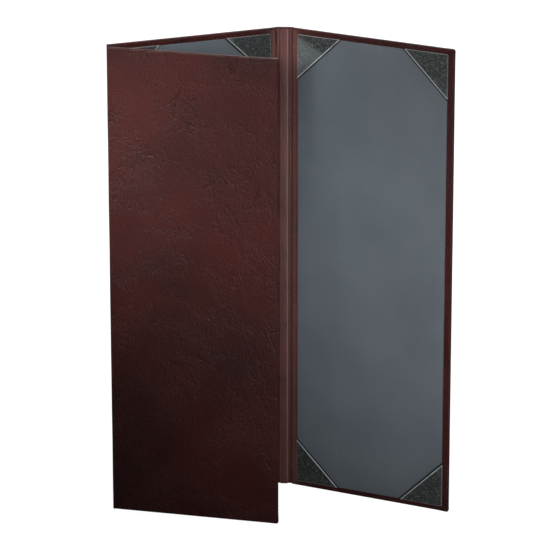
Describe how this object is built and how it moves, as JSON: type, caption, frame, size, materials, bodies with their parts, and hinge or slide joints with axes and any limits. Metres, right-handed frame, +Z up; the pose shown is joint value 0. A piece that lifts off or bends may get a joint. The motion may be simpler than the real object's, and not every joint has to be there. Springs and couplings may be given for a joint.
{
  "type": "menu cover",
  "caption": "Tall folding menu cover of leatherette over board: a middle panel with a front and a back panel hinged to it, lined inside, with corner tabs for menu sheets.",
  "frame": {"origin": "centre of the standing cover's bounding box in plan, at the surface it stands on", "axes": "+Z up along the panels' height; +Y away from the reader, so the inside of the middle and back panels faces -Y; +X to the reader's right"},
  "size_m": [0.2544, 0.0792, 0.366],
  "materials": {
    "cover_leatherette": "fine-grained burgundy leatherette, satin",
    "tab_leatherette": "pebbled black leatherette, satin",
    "liner_paper": "smooth slate-grey liner paper, satin",
    "greyboard": "uncoated greyboard"
  },
  "bodies": {
    "middle_panel": {"middle_cover_leather": "cover_leatherette", "middle_board": "greyboard", "middle_liner_card": "greyboard", "middle_liner_facing": "liner_paper", "middle_top_left_tab": "tab_leatherette", "middle_top_right_tab": "tab_leatherette", "middle_bottom_left_tab": "tab_leatherette", "middle_bottom_right_tab": "tab_leatherette", "middle_panel_front_hinge_lining": "cover_leatherette", "middle_panel_back_hinge_lining": "cover_leatherette"},
    "front_spine": {"front_spine_leather": "cover_leatherette", "front_spine_lining": "cover_leatherette"},
    "front_panel": {"front_cover_leather": "cover_leatherette", "front_board": "greyboard", "front_liner_card": "greyboard", "front_liner_facing": "liner_paper", "front_top_left_tab": "tab_leatherette", "front_top_right_tab": "tab_leatherette", "front_bottom_left_tab": "tab_leatherette", "front_bottom_right_tab": "tab_leatherette", "front_panel_hinge_lining": "cover_leatherette"},
    "back_spine": {"back_spine_leather": "cover_leatherette", "back_spine_strip": "greyboard", "back_spine_lining": "cover_leatherette"},
    "back_panel": {"back_cover_leather": "cover_leatherette", "back_board": "greyboard", "back_liner_card": "greyboard", "back_liner_facing": "liner_paper", "back_top_left_tab": "tab_leatherette", "back_top_right_tab": "tab_leatherette", "back_bottom_left_tab": "tab_leatherette", "back_bottom_right_tab": "tab_leatherette", "back_panel_hinge_lining": "cover_leatherette"}
  },
  "joints": [
    {"name": "front_spine_crease", "type": "hinge", "parent": "middle_panel", "child": "front_spine", "pos_m": [-0.12725, -0.00312, 0], "axis": [0, 0, -1], "range_deg": [-16, 74]},
    {"name": "front_panel_crease", "type": "hinge", "parent": "front_spine", "child": "front_panel", "pos_m": [-0.12684, -0.01091, 0], "axis": [0, 0, -1], "range_deg": [-16, 74]},
    {"name": "back_spine_crease", "type": "hinge", "parent": "middle_panel", "child": "back_spine", "pos_m": [-0.0032, 0.0396, 0], "axis": [0, 0, 1], "range_deg": [-64, 21.75]},
    {"name": "back_panel_crease", "type": "hinge", "parent": "back_spine", "child": "back_panel", "pos_m": [0.00864, 0.03903, 0], "axis": [0, 0, 1], "range_deg": [-70, 21.75]}
  ],
  "couplings": [
    {"joint": "front_panel_crease", "follows": "front_spine_crease", "ratio": 1}
  ]
}
